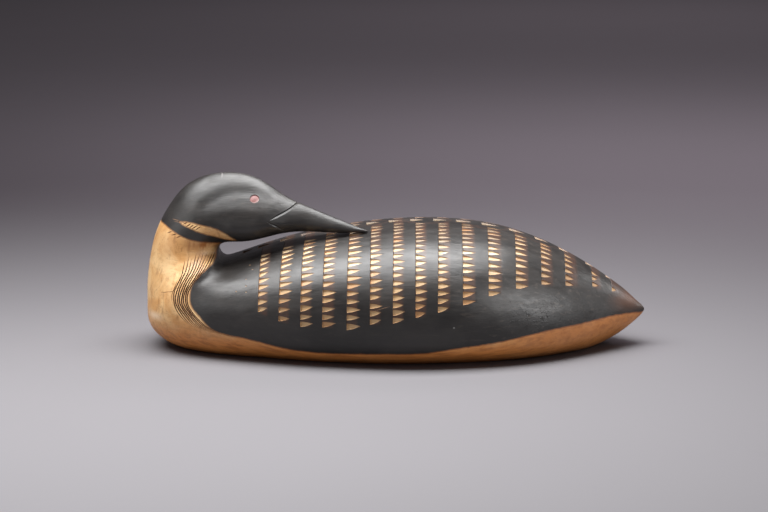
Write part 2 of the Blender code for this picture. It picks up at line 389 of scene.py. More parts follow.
def loft():
    """The block's form as a bmesh, closed at both tips, uneven from the knife and planed flat below."""
    made = bmesh.new()
    rings = []
    for row in sections(RING_STEP):
        rings.append([made.verts.new(point) for point in ring(row, RING_POINTS)])
    for here, there in zip(rings, rings[1:]):
        for i in range(RING_POINTS):
            j = (i + 1) % RING_POINTS
            made.faces.new((here[i], here[j], there[j], there[i]))
    made.faces.new(reversed(rings[0]))
    made.faces.new(rings[-1])
    bmesh.ops.recalc_face_normals(made, faces=made.faces)
    soften(made)
    everything = list(made.verts) + list(made.edges) + list(made.faces)
    bmesh.ops.bisect_plane(made, geom=everything, plane_co=(0, 0, 0), plane_no=(0, 0, -1), clear_outer=True)
    bmesh.ops.holes_fill(made, edges=[edge for edge in made.edges if edge.is_boundary], sides=0)
    bmesh.ops.recalc_face_normals(made, faces=made.faces)
    return made


def nearest(places, line):
    """Distance of the places to a line of points, and how far along it they are, from 0 to 1."""
    distance = np.full(len(places), np.inf)
    along = np.zeros(len(places))
    count = len(line) - 1
    for i, (start, end) in enumerate(zip(line, line[1:])):
        run = end - start
        share = ((places - start) @ run / max(run @ run, 1e-12)).clip(0, 1)
        away = np.linalg.norm(places - start - share[:, None] * run, axis=1)
        along = np.where(away < distance, (i + share) / count, along)
        distance = np.minimum(distance, away)
    return distance, along


def soften(made):
    """Raises and presses the soft relief and leaves the knife's unevenness everywhere."""
    made.normal_update()
    points = np.array([vert.co for vert in made.verts])
    places = np.column_stack([points[:, 0] + LENGTH / 2, points[:, 2]])
    raised = np.zeros(len(points))
    for line, half_width, height in RELIEF:
        distance, along = nearest(places, curve(line, 40))
        raised += height * np.exp(-((distance / half_width) ** 2)) * np.sin(along * math.pi).clip(0) ** 0.5
    for vert, rise in zip(made.verts, raised):
        mark = noise.noise(vert.co * KNIFE_SCALE) * KNIFE_MARKS
        vert.co += vert.normal * (mark + rise * min(1.0, 2 * abs(vert.normal.y)))


# Places on the surface

def side_hit(surface, place, side):
    """The surface's point and normal at a side-view place, seen from the near or the far side."""
    back, height = place
    origin = Vector((back - LENGTH / 2, side * OUTSIDE, height))
    point, normal, _, _ = surface.ray_cast(origin, Vector((0, -side, 0)))
    return point, normal


def girth(surface, column, side):
    """Points and normals down a column's base line from the ridge, and their distance along the girth."""
    points, normals, length = [], [], [0.0]
    for turn in np.linspace(0, GIRTH_END, GIRTH_STEPS):
        share = turn / GIRTH_END
        bend = max(0.0, 1 - length[-1] / RIDGE_BEND) ** 2
        back = column.ridge + (column.foot - column.ridge) * share - RIDGE_SHIFT * bend
        origin = Vector((back - LENGTH / 2, 0, AXIS_HEIGHT))
        direction = Vector((0, side * math.sin(turn), math.cos(turn)))
        point, normal, _, _ = surface.ray_cast(origin, direction)
        if points:
            length.append(length[-1] + (point - points[-1]).length)
        points.append(point)
        normals.append(normal)
    return points, normals, length


def at_length(trace, wanted):
    """The point, normal and downward direction at a distance along a traced girth."""
    points, normals, length = trace
    i = int(np.clip(np.searchsorted(length, wanted) - 1, 0, len(length) - 2))
    share = (wanted - length[i]) / (length[i + 1] - length[i])
    point = points[i].lerp(points[i + 1], share)
    down = (points[i + 1] - points[i]).normalized()
    return point, normals[i], down


# Cutters

def skin(made, rows, slot):
    """A closed shape through rows of as many points each, a row of one point being a tip."""
    corners = [[made.verts.new(point) for point in row] for row in rows]
    faces = []
    for here, there in zip(corners, corners[1:]):
        count = max(len(here), len(there))
        for i in range(count):
            j = (i + 1) % count
            corner = [here[i % len(here)], here[j % len(here)], there[j % len(there)], there[i % len(there)]]
            faces.append(made.faces.new(list(dict.fromkeys(corner))))
    for end in (corners[0], corners[-1]):
        if len(end) > 2:
            faces.append(made.faces.new(end))
    bmesh.ops.recalc_face_normals(made, faces=faces)
    for face in faces:
        face.material_index = slot


NOTCH_LIFT = 0.0012  # how far a notch's cutter stands out of the surface
NOTCH_TIP_LIFT = 0.0002  # and how far its tip does
GROOVE_TIP_LIFT = 0.0001  # and the tips of a groove's cutter
GROOVE_LIFT = 0.6  # how far a groove's walls go on past the surface, in half widths
NOTCH_FLOOR = 0.76  # width of a notch's floor as a share of its width
NOTCH_OUTLINE = ((0.0, 1.0), (0.33, 0.84), (0.64, 0.50), (0.86, 0.20))  # share of length, share of width
NOTCH_RISE = 0.8  # power by which its floor rises towards the tip


def notch(made, surface, point, normal, down, length, width, depth, rise):
    """A chip cut: straight down at its base, rising and narrowing like a bullet towards the tail."""
    back = down.cross(normal).normalized()
    if back.x < 0:
        back.negate()
    down = normal.cross(back).normalized()
    if down.z > 0:
        down.negate()
    rows = []
    for share, narrowing in NOTCH_OUTLINE:
        centre, out, _, _ = surface.find_nearest(point + back * length * share - down * rise * share**1.5)
        deep = depth * (1 - share) ** NOTCH_RISE
        across = (down - out * down.dot(out)).normalized()
        flare = width * narrowing / 2 * (1 + (1 - NOTCH_FLOOR) * NOTCH_LIFT / deep)
        low = width * narrowing / 2 * NOTCH_FLOOR
        top = centre + out * NOTCH_LIFT
        bottom = centre - out * deep
        rows.append([top - across * flare, bottom - across * low, bottom + across * low, top + across * flare])
    tip, out, _, _ = surface.find_nearest(point + back * length - down * rise)
    rows.append([tip + out * NOTCH_TIP_LIFT])
    skin(made, rows, CUT)


def vee(made, points, normals, width, depth, slot, lean=0.0, ends=0.15):
    """A V-shaped groove along the points that tapers out at both ends. lean moves its bottom to one side."""
    count = len(points)
    rows = [[points[0] + normals[0] * GROOVE_TIP_LIFT]]
    for i in range(1, count - 1):
        ahead = (points[i + 1] - points[i - 1]).normalized()
        out = (normals[i] - ahead * normals[i].dot(ahead)).normalized()
        across = ahead.cross(out)
        share = i / (count - 1)
        taper = min(1.0, share / ends, (1 - share) / ends)
        size = math.sin(taper * math.pi / 2)
        half = width / 2 * size
        bottom = points[i] - out * depth * size + across * lean * half
        rims = (points[i] - across * half, points[i] + across * half)
        left, right = [rim + (rim - bottom).normalized() * (GROOVE_LIFT * half) for rim in rims]
        rows.append([left, bottom, right])
    rows.append([points[-1] + normals[-1] * GROOVE_TIP_LIFT])
    skin(made, rows, slot)


def foot_of(trace, column):
    """How far along the girth the column's lowest notch is."""
    points, _, length = trace
    return length[next(i for i, point in enumerate(points) if point.z < column.low)]


def ridge_notch(made, surface, column):
    point, normal, _ = at_length(girth(surface, column, NEAR), 0)
    upward = Vector((normal.x, 0, normal.z)).normalized()
    length = column.length * RIDGE_LENGTH
    notch(made, surface, point, upward, Vector((0, 1, 0)), length, RIDGE_WIDTH, NOTCH_DEPTH, 0.0)


def notches(surface, draw):
    """Cutters for every notch of every column."""
    made = bmesh.new()
    for i, column in enumerate(COLUMNS):
        gap = max(RIDGE_GAP, FIRST_GAP - GAP_STEP * i)
        for side in (NEAR, FAR):
            trace = girth(surface, column, side)
            foot = place = foot_of(trace, column)
            while place > gap:
                point, normal, down = at_length(trace, place)
                size = 1 + draw.uniform(-NOTCH_JITTER, NOTCH_JITTER)
                length = column.length * (1 + draw.uniform(-NOTCH_JITTER, NOTCH_JITTER))
                depth = NOTCH_DEPTH * size * min(1.0, SHORT_DEPTH + column.length / DEPTH_RUN)
                rise = column.rise + draw.uniform(-RISE_JITTER, RISE_JITTER)
                if foot - place < 1.5 * NOTCH_PITCH:
                    rise += LOWEST_RISE * min(1.0, i / LOWEST_FULL)
                notch(made, surface, point, normal, down, length, NOTCH_WIDTH * size, depth, rise)
                place -= NOTCH_PITCH * (1 + draw.uniform(-NOTCH_JITTER, NOTCH_JITTER))
        ridge_notch(made, surface, column)
    ridge_notch(made, surface, RIDGE_ONLY)
    return made


def score_lines(surface):
    """Cutters for the line along each column's base."""
    made = bmesh.new()
    for column in COLUMNS:
        for side in (NEAR, FAR):
            trace = girth(surface, column, side)
            places = np.linspace(SCORE_START, foot_of(trace, column) + SCORE_PAST, 40)
            points, normals, _ = zip(*[at_length(trace, place) for place in places])
            vee(made, points, normals, SCORE_WIDTH, SCORE_DEPTH, GROOVE, ends=0.1)
    return made


def groove_fan(surface, draw):
    """Cutters for the grooves beside the neck, on both sides."""
    made = bmesh.new()
    fan = np.array(GROOVE_FAN)[::-1]
    for side in (NEAR, FAR):
        for groove in GROOVES:
            heights = np.linspace(groove.top, groove.bottom, 36)
            edges = spline(fan[:, 0], fan[:, 1:], heights)
            phase = draw.uniform(0, 2 * math.pi)
            places = []
            for height, (front, rear) in zip(heights, edges):
                wander = GROOVE_WANDER * math.sin(height * GROOVE_WAVES + phase)
                places.append((front + (rear - front) * groove.place + wander, height))
            points, normals = zip(*[side_hit(surface, place, side) for place in places])
            vee(made, points, normals, groove.width, groove.depth, GROOVE, ends=0.3)
    return made


def line_cut(made, surface, places, side, width, depth, slot, count=24, **form):
    """A groove through side-view places."""
    points, normals = zip(*[side_hit(surface, place, side) for place in curve(places, count)])
    vee(made, points, normals, width, depth, slot, **form)


def circle(centre, normal, radius, height, sides):
    """Points round a normal, at a height above its foot."""
    turn = normal.to_track_quat("Z", "Y")
    points = []
    for i in range(sides):
        angle = 2 * math.pi * i / sides
        points.append(centre + turn @ Vector((radius * math.cos(angle), radius * math.sin(angle), height)))
    return points


def pit(made, surface, place, side, radius, depth, slot):
    """A small cone pricked into the surface."""
    centre, normal = side_hit(surface, place, side)
    rim = circle(centre, normal, radius, radius * PIT_LIFT, PIT_SIDES)
    skin(made, [rim, [centre - normal * depth]], slot)


def bill_root(made, surface):
    """The line over the bill's root from gape to gape."""
    (back, low), (far_back, high) = BILL_TOP_CUT
    run = Vector((far_back - back, 0, high - low)).normalized()
    sagging = Vector((run.z, 0, -run.x))
    heart = Vector(BILL_HEART) - Vector((LENGTH / 2, 0, 0))
    points, normals = [], []
    for turn in np.linspace(-BILL_WRAP, BILL_WRAP, 70):
        sag = BILL_SAG * math.sin(abs(turn) / BILL_WRAP * math.pi)
        direction = run * math.cos(turn) + Vector((0, math.sin(turn), 0))
        point, normal, _, _ = surface.ray_cast(heart + sagging * sag, direction)
        points.append(point)
        normals.append(normal)
    vee(made, points, normals, *BILL_CUT_SIZE, PAINTED, lean=BILL_CUT_LEAN, ends=0.08)


def crown_nick(made, surface):
    origins = [Vector((NICK_BACK - LENGTH / 2, side, OUTSIDE)) for side in np.linspace(*NICK_REACH, 12)]
    points, normals, _, _ = zip(*[surface.ray_cast(origin, Vector((0, 0, -1))) for origin in origins])
    vee(made, points, normals, *NICK_SIZE, PAINTED, ends=0.3)


# Lists of strokes, with their material slot and how much of each tapers at either end
STROKES = ((DARK_STROKES, GROOVE, 0.4), (PALE_STROKES, CUT, 0.4), (NECK_STROKES, GROOVE, 0.5))


def cuts(surface):
    """Cutters for the mouth, the strokes on throat and neck, the pits and the eyes."""
    made = bmesh.new()
    for side in (NEAR, FAR):
        line_cut(made, surface, MOUTH, side, *MOUTH_SIZE, PAINTED, ends=0.6)
        for strokes, slot, ends in STROKES:
            for stroke in strokes:
                line_cut(made, surface, stroke, side, *STROKE_SIZE, slot, 8, ends=ends)
        for place in PITS:
            pit(made, surface, place, side, *PIT_SIZE, CUT)
        eye(made, surface, side)
    return made


def more_cuts(surface):
    """Cutters that may cross the others: the line over the bill's root and the damage."""
    made = bmesh.new()
    bill_root(made, surface)
    crown_nick(made, surface)
    line_cut(made, surface, CRACK, NEAR, *CRACK_SIZE, GROOVE, 30, ends=0.2)
    line_cut(made, surface, SCRATCH, NEAR, *SCRATCH_SIZE, CUT, 16, ends=0.4)
    pit(made, surface, FLANK_PIT, NEAR, *FLANK_PIT_SIZE, PAINTED)
    return made


def low_bill_cuts(surface):
    made = bmesh.new()
    for side in (NEAR, FAR):
        line_cut(made, surface, BILL_LOW_CUT, side, *BILL_LOW_SIZE, PAINTED, ends=0.25)
    return made


def eye(made, surface, side):
    """A shallow round recess with a domed floor."""
    centre, normal = side_hit(surface, EYE_PLACE, side)
    rims = ((EYE_RIM, EYE_LIFT), (EYE_FLOOR, -EYE_DEPTH), (EYE_INNER, EYE_DOME * EYE_MOST - EYE_DEPTH))
    rows = [circle(centre, normal, EYE_RADIUS * share, height, EYE_SIDES) for share, height in rims]
    rows.append([centre + normal * (EYE_DOME - EYE_DEPTH)])
    skin(made, rows, EYE)


def carve(bird, made):
    """Cuts the shapes in made out of the bird."""
    mesh = bpy.data.meshes.new("cutter")
    made.to_mesh(mesh)
    made.free()
    cutter = bpy.data.objects.new("cutter", mesh)
    bpy.context.scene.collection.objects.link(cutter)
    cut = bird.modifiers.new("cut", "BOOLEAN")
    cut.operation = "DIFFERENCE"
    cut.solver = "MANIFOLD"
    cut.object = cutter
    seen = bird.evaluated_get(bpy.context.evaluated_depsgraph_get())
    carved = bpy.data.meshes.new_from_object(seen)
    bird.modifiers.remove(cut)
    bird.data = carved
    bpy.data.objects.remove(cutter)


# Measures that the paint and the wear follow

def inside(places, outline):
    """Which of the places lie inside a closed outline."""
    found = np.zeros(len(places), bool)
    for (x0, y0), (x1, y1) in zip(outline, np.roll(outline, -1, axis=0)):
        crosses = (y0 > places[:, 1]) != (y1 > places[:, 1])
        with np.errstate(divide="ignore", invalid="ignore"):
            found ^= crosses & (places[:, 0] < (x1 - x0) * (places[:, 1] - y0) / (y1 - y0) + x0)
    return found


def reach(places, outline):
    """Signed distance of the places to a closed outline, above zero inside it."""
    distance, _ = nearest(places, np.vstack([outline, outline[:1]]))
    return np.where(inside(places, outline), distance, -distance)


BEFORE = -0.4  # what column_phase gives before the first column
BEHIND = 0.9  # and how much it gives beyond the last at most


def column_phase(points):
    """Where points lie in the row of columns: a whole number on each column's base line."""
    lean = np.clip(points[:, 2] / RIDGE_TOP, 0, 1)
    ridge = np.array([column.ridge for column in COLUMNS])
    foot = np.array([column.foot for column in COLUMNS])
    back = points[:, 0] + LENGTH / 2
    phase = np.full(len(points), BEFORE)
    for i in range(len(COLUMNS) - 1):
        start = foot[i] + (ridge[i] - foot[i]) * lean
        end = foot[i + 1] + (ridge[i + 1] - foot[i + 1]) * lean
        share = (back - start) / (end - start)
        phase = np.where(share >= 0, i + share, phase)
    ridge_heights = np.array([section.inner for section in (TAIL + BACK)[::-1]])
    above = points[:, 2] > np.interp(back, ridge_heights[:, 0], ridge_heights[:, 1]) + 0.0005
    return np.where(above, BEFORE, np.minimum(phase, len(COLUMNS) - 1 + BEHIND))


def keep_in_box(bird):
    """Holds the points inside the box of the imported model."""
    mesh = bird.data
    points = np.empty(len(mesh.vertices) * 3, np.float32)
    mesh.vertices.foreach_get("co", points)
    points = np.clip(points.reshape(-1, 3), cad_box[0], cad_box[1])
    mesh.vertices.foreach_set("co", points.astype(np.float32).ravel())


def measure(bird, surface):
    """Stores on the bird's points how far they lie inside the paint, how deep they are cut and so on."""
    mesh = bird.data
    count = len(mesh.vertices)
    points = np.empty(count * 3, np.float32)
    mesh.vertices.foreach_get("co", points)
    points = points.reshape(-1, 3).astype(float)
    places = np.column_stack([points[:, 0] + LENGTH / 2, points[:, 2]])
    head_edge, body_edge = curve(HEAD_EDGE, 40), curve(BODY_EDGE, 160)
    black = reach(places, np.vstack([head_edge, body_edge, AROUND]))
    crescent = reach(places, np.vstack([curve(CRESCENT_TOP, 30), curve(CRESCENT_BOTTOM, 30)]))
    low = np.array([column.low for column in COLUMNS])
    phase = column_phase(points)
    foot = np.interp(phase, range(len(COLUMNS)), low)
    deep = [surface.find_nearest(Vector(point))[3] for point in points]
    fan = np.array(GROOVE_FAN)[::-1]
    front = np.interp(places[:, 1], fan[:, 0], fan[:, 1])
    rear = np.interp(places[:, 1], fan[:, 0], fan[:, 2])
    within = np.minimum(places[:, 0] - front, rear - places[:, 0])
    values = {
        "paint": np.minimum(black, -crescent),
        "depth": np.array(deep),
        "column": phase,
        "above_foot": points[:, 2] - foot,
        "fan": np.minimum(within, np.minimum(places[:, 1] - fan[0, 0], fan[-1, 0] - places[:, 1])),
    }
    for name, value in values.items():
        store = mesh.attributes.new(name, "FLOAT", "POINT")
        store.data.foreach_set("value", value.astype(np.float32))


# Materials

class Graph:
    """Short forms for building one material's nodes."""

    def __init__(self, name):
        self.material = bpy.data.materials.new(name)
        self.material.use_nodes = True
        self.tree = self.material.node_tree
        self.shader = self.tree.nodes["Principled BSDF"]

    def put(self, socket, value):
        if isinstance(value, bpy.types.NodeSocket):
            self.tree.links.new(value, socket)
        else:
            socket.default_value = value

    def node(self, kind, **settings):
        made = self.tree.nodes.new(kind)
        for key, value in settings.items():
            setattr(made, key, value)
        return made

    def measure(self, name):
        return self.node("ShaderNodeAttribute", attribute_name=name).outputs["Fac"]

    def places(self, scale=(1, 1, 1)):
        """Object coordinates, stretched."""
        made = self.node("ShaderNodeMapping")
        self.put(made.inputs["Vector"], self.node("ShaderNodeTexCoord").outputs["Object"])
        self.put(made.inputs["Scale"], scale)
        return made.outputs["Vector"]

    def noise(self, places, scale, detail=3.0, rough=0.5, warp=0.0):
        made = self.node("ShaderNodeTexNoise")
        self.put(made.inputs["Vector"], places)
        self.put(made.inputs["Scale"], scale)
        self.put(made.inputs["Detail"], detail)
        self.put(made.inputs["Roughness"], rough)
        self.put(made.inputs["Distortion"], warp)
        return made.outputs["Fac"]

    def math(self, operation, first, second=0.0, third=0.0):
        made = self.node("ShaderNodeMath", operation=operation)
        for socket, value in zip(made.inputs, (first, second, third)):
            self.put(socket, value)
        return made.outputs["Value"]

    def ramp(self, value, start, end, low=0.0, high=1.0):
        """value taken from the range start to end to the range low to high, smoothly."""
        made = self.node("ShaderNodeMapRange", interpolation_type="SMOOTHSTEP")
        names = ("Value", "From Min", "From Max", "To Min", "To Max")
        for name, setting in zip(names, (value, start, end, low, high)):
            self.put(made.inputs[name], setting)
        return made.outputs["Result"]

    def mix(self, share, first, second, blend="MIX"):
        made = self.node("ShaderNodeMix", data_type="RGBA", blend_type=blend)
        self.put(made.inputs["Factor"], share)
        self.put(made.inputs["A"], first)
        self.put(made.inputs["B"], second)
        return made.outputs["Result"]

    def bump(self, height, distance, strength=1.0, below=None):
        made = self.node("ShaderNodeBump")
        self.put(made.inputs["Height"], height)
        self.put(made.inputs["Distance"], distance)
        self.put(made.inputs["Strength"], strength)
        if below is not None:
            self.put(made.inputs["Normal"], below)
        return made.outputs["Normal"]

    def done(self, colour, roughness, normal=None):
        """The material, once its shader has these."""
        self.put(self.shader.inputs["Base Color"], colour)
        self.put(self.shader.inputs["Roughness"], roughness)
        if normal is not None:
            self.put(self.shader.inputs["Normal"], normal)
        return self.material


def rgb(red, green, blue):
    """A linear colour from one given in the usual 0 to 255 steps."""
    steps = [value / 255 for value in (red, green, blue)]
    return (*[step / 12.92 if step <= 0.04045 else ((step + 0.055) / 1.055) ** 2.4 for step in steps], 1.0)


def place(graph, axis):
    split = graph.node("ShaderNodeSeparateXYZ")
    graph.put(split.inputs[0], graph.places())
    return split.outputs[axis]


def spot(graph, centre, size):
    """One at a side-view place, falling to nothing at the edge of an ellipse round it, on both sides."""
    back = graph.math("DIVIDE", graph.math("SUBTRACT", place(graph, "X"), centre[0] - LENGTH / 2), size[0])
    high = graph.math("DIVIDE", graph.math("SUBTRACT", place(graph, "Z"), centre[1]), size[1])
    square = graph.math("MULTIPLY_ADD", back, back, graph.math("MULTIPLY", high, high))
    return graph.ramp(graph.math("SQRT", square), 1.0, 0.0)


def both(graph, *shares):
    """The product of the shares."""
    product = shares[0]
    for share in shares[1:]:
        product = graph.math("MULTIPLY", product, share)
    return product


def blot(graph, colour, ellipse, share, other):
    """The colour with a share of another in a soft ellipse."""
    return graph.mix(both(graph, spot(graph, *ellipse), share), colour, other)


# Ellipses in side view, as (middle, half sizes)
NECK_FRONT = ((0.0060, 0.1330), (0.0240, 0.0330))
# Painted shade on the foot of the neck, over its sheen of light
NECK_FOOT_SHADE = ((0.0660, 0.1020), (0.0240, 0.0200))
# Painted shade under the head
HEAD_SHADE = ((0.0700, 0.1255), (0.0340, 0.0105))
# Painted shade in the corner at the slot's end
SLOT_END_SHADE = ((0.0870, 0.1120), (0.0150, 0.0170))
BREAST_RUB = ((0.0130, 0.0430), (0.0150, 0.0080))
# Wear and a painted sheen at the tail's tip
TAIL_RUB_AND_SHEEN = ((0.5660, 0.0560), (0.0400, 0.0200))
FLANK_SPECK = ((0.3532, 0.0489), (0.0016, 0.0014))
# Wear and a painted glint on the nick in the crown
NICK_RUB_AND_GLINT = ((NICK_BACK, 0.2032), (0.0013, 0.0052))
DULL_SHOULDER = ((0.0800, 0.0860), (0.0240, 0.0170))
OPEN_GRAIN = ((0.4450, 0.0565), (0.0480, 0.0210))


def bare_wood(graph):
    """Colour of the bare wood: golden and mottled, brown as painted shade under the head, at the slot's end and
    on the foot of the neck, and orange-brown on the belly, its own tone with painted shade near the floor.
    """
    grain = graph.noise(graph.places((0.25, 1, 1)), 420, 3, 0.6)
    patches = graph.noise(graph.places(), 26, 5, 0.62, 0.5)
    veins = graph.noise(graph.places((1, 1, 0.3)), 150, 4, 0.6, 0.8)
    colour = graph.mix(graph.ramp(patches, 0.40, 0.62), TAN_LIGHT, TAN_DEEP)
    colour = graph.mix(graph.ramp(veins, 0.52, 0.70, 0.0, 0.5), colour, TAN_BROWN)
    colour = graph.mix(graph.ramp(graph.measure("fan"), -0.001, 0.002, 0.0, 0.15), colour, TAN_PALE)
    colour = blot(graph, colour, NECK_FRONT, 0.45, TAN_BROWN)
    # Painted shade: brown over the sheen of light on the foot of the neck
    colour = blot(graph, colour, NECK_FOOT_SHADE, 0.5, TAN_BROWN)
    # Painted shade: brown under the head
    colour = blot(graph, colour, HEAD_SHADE, graph.ramp(veins, 0.38, 0.6, 0.45, 1.0), HEAD_SHADE_BROWN)
    # Painted shade: dark brown in the corner at the slot's end
    colour = blot(graph, colour, SLOT_END_SHADE, 0.95, CORNER_SHADE)
    colour = blot(graph, colour, BREAST_RUB, graph.ramp(patches, 0.3, 0.5, 0.32, 0.8), WORN_PALE)
    # Near the floor and towards the tail the wood takes the belly's orange-brown: its own tone with painted
    # shade, more of it towards the tail
    low = graph.ramp(place(graph, "Z"), 0.050, 0.016)
    low = graph.math("MAXIMUM", low, graph.ramp(place(graph, "X"), 0.06, 0.16))
    streaks = graph.noise(graph.places((0.08, 1, 1)), 210, 4, 0.6, 0.4)
    belly = graph.mix(graph.ramp(streaks, 0.4, 0.68), BELLY_LIGHT, BELLY_DEEP)
    belly = graph.mix(graph.ramp(place(graph, "X"), 0.08, 0.20, 0.0, 0.5), belly, BELLY_TAIL)
    colour = graph.mix(both(graph, low, 0.92), colour, belly)
    return graph.mix(graph.ramp(grain, 0.5, 0.78, 0.0, 0.4), colour, TAN_BROWN)


def paint_colour(graph):
    """Colour of the worn black paint: rubbed in flecks, brown between the notches, brown at the tail's tip from
    wear with a painted sheen, a pale nick from wear with a painted glint, and painted shade low down.
    """
    patches = graph.noise(graph.places((0.6, 1, 1)), 30, 5, 0.62, 0.3)
    fine = graph.noise(graph.places((0.35, 1, 1)), 260, 4, 0.65)
    colour = graph.mix(graph.ramp(patches, 0.35, 0.7), BLACK_DEEP, BLACK_WORN)
    colour = graph.mix(graph.ramp(fine, 0.6, 0.8, 0.0, 0.55), colour, BLACK_BROWN)
    flecks = graph.noise(graph.places((0.09, 1, 1)), 260, 4, 0.7, 0.4)
    rear = graph.ramp(place(graph, "X"), 0.02, 0.16, 0.2, 0.65)
    colour = graph.mix(both(graph, graph.ramp(flecks, 0.54, 0.68), rear), colour, BLACK_RUBBED)
    between = graph.ramp(graph.math("FRACT", graph.measure("column")), 0.50, 0.34)
    between = both(graph, between, graph.ramp(graph.measure("above_foot"), -0.006, -0.001))
    colour = graph.mix(both(graph, between, graph.ramp(fine, 0.3, 0.6, 0.25, 0.6)), colour, STRIP_BROWN)
    # Brown at the tail's tip: wear and a painted sheen
    colour = blot(graph, colour, TAIL_RUB_AND_SHEEN, graph.ramp(patches, 0.3, 0.6, 0.6, 1.0), TAIL_WEAR_AND_SHEEN)
    colour = blot(graph, colour, FLANK_SPECK, 1.0, SPECK)
    # Pale nick: wear and a painted glint
    colour = blot(graph, colour, NICK_RUB_AND_GLINT, 1.0, NICK_WEAR_AND_GLINT)
    # Painted shade: the paint darker low down
    return graph.mix(graph.ramp(place(graph, "Z"), 0.075, 0.035, 0.0, 0.35), colour, BLACK_LOW_SHADE)


def painted_wood():
    """Black paint and bare wood, parted by a slightly wandering edge."""
    graph = Graph("painted_wood")
    wander = graph.math("MULTIPLY_ADD", graph.noise(graph.places(), 160, 3), 0.0016, -0.0008)
    edge = graph.math("ADD", graph.measure("paint"), wander)
    black = graph.ramp(edge, -0.0004, 0.0004)
    line = graph.ramp(graph.math("ABSOLUTE", graph.math("ADD", edge, 0.0004)), 0.0017, 0.0002)
    wood = graph.mix(graph.math("MULTIPLY", line, 0.75), bare_wood(graph), EDGE_BROWN)
    colour = graph.mix(black, wood, paint_colour(graph))
    gloss = graph.noise(graph.places((0.5, 1, 1)), 60, 4, 0.6)
    streaks = graph.noise(graph.places((0.12, 1, 1)), 170, 4, 0.65, 0.3)
    rough = graph.ramp(gloss, 0.3, 0.7, 0.35, 0.45)
    rough = graph.math("ADD", rough, graph.ramp(streaks, 0.35, 0.65, -0.04, 0.04))
    rough = graph.math("MULTIPLY_ADD", spot(graph, *DULL_SHOULDER), 0.13, rough)
    sparkle = graph.ramp(graph.noise(graph.places((0.25, 1, 1)), 330, 3, 0.7), 0.56, 0.62)
    sparkle = both(graph, sparkle, spot(graph, *OPEN_GRAIN))
    rough = graph.math("MULTIPLY_ADD", sparkle, -0.12, rough)
    rough = graph.math("ADD", rough, graph.ramp(edge, 0.0004, -0.0004, 0.0, 0.06))
    grain = graph.noise(graph.places((0.12, 1, 1)), 520, 3, 0.6)
    bumped = graph.bump(graph.noise(graph.places((0.6, 1, 1)), 45, 2, 0.5), 0.0009, 0.5)
    bumped = graph.bump(sparkle, 0.0004, 0.5, bumped)
    bumped = graph.bump(streaks, 0.0004, 0.35, bumped)
    return graph.done(colour, rough, graph.bump(grain, 0.00025, 0.5, bumped))


def cut_wood():
    """Bare wood in the notches: cream, golden low down, with painted shade high up and on the ridge, darkest as
    painted shadow under the head, darker towards the tail, brown along the rims.
    """
    graph = Graph("cut_wood")
    tone = graph.noise(graph.places(), 95, 2, 0.5)
    grain = graph.noise(graph.places((0.15, 1, 1)), 700, 3, 0.6)
    stain = graph.noise(graph.places((0.5, 1, 1)), 62, 2, 0.5)
    colour = graph.mix(graph.ramp(tone, 0.40, 0.60), CUT_LIGHT, CUT_MIDDLE)
    colour = graph.mix(graph.ramp(place(graph, "Z"), 0.120, 0.085, 0.0, 0.85), colour, CUT_LOW)
    # Painted shade on the notches high up
    colour = graph.mix(graph.ramp(place(graph, "Z"), 0.122, 0.135, 0.0, 0.9), colour, CUT_HIGH_SHADE)
    colour = graph.mix(graph.ramp(stain, 0.50, 0.66, 0.0, 0.6), colour, CUT_STAINED)
    colour = graph.mix(graph.ramp(grain, 0.5, 0.75, 0.0, 0.35), colour, TAN_BROWN)
    # Painted shade on the ridge notches, as painted shadow under the head at the front
    crest = graph.ramp(graph.math("ABSOLUTE", place(graph, "Y")), 0.0145, 0.0120, 0.0, 0.9)
    front = graph.ramp(place(graph, "X"), 0.22 - LENGTH / 2, 0.18 - LENGTH / 2)
    colour = graph.mix(crest, colour, graph.mix(front, RIDGE_SHADE, RIDGE_HEAD_SHADOW))
    colour = graph.mix(graph.ramp(place(graph, "X"), 0.09, 0.19, 0.0, 0.7), colour, CUT_TAIL)
    rim = graph.ramp(graph.measure("depth"), 0.0008, 0.0001, 0.0, 0.8)
    colour = graph.mix(rim, colour, CUT_RIM)
    return graph.done(colour, graph.ramp(tone, 0.3, 0.7, 0.42, 0.55), graph.bump(grain, 0.0002, 0.5))


def groove_wood():
    """Bare wood in narrow grooves, dark at the bottom with dirt and painted shade, and darkest inside the black
    paint, again dirt and painted shade.
    """
    graph = Graph("groove_wood")
    tone = graph.noise(graph.places(), 300, 3)
    # Dirt and painted shade at the bottom of the grooves
    colour = graph.mix(graph.ramp(graph.measure("depth"), 0.0, 0.0006), TAN_BROWN, DIRT_AND_SHADE)
    colour = graph.mix(graph.ramp(tone, 0.55, 0.75, 0.0, 0.4), colour, TAN_DEEP)
    # Dirt and painted shade in the grooves inside the black paint
    colour = graph.mix(graph.ramp(graph.measure("paint"), 0.0, 0.0015), colour, SCORE_DIRT_AND_SHADE)
    return graph.done(colour, graph.ramp(tone, 0.3, 0.7, 0.45, 0.6), graph.bump(tone, 0.0002, 0.4))


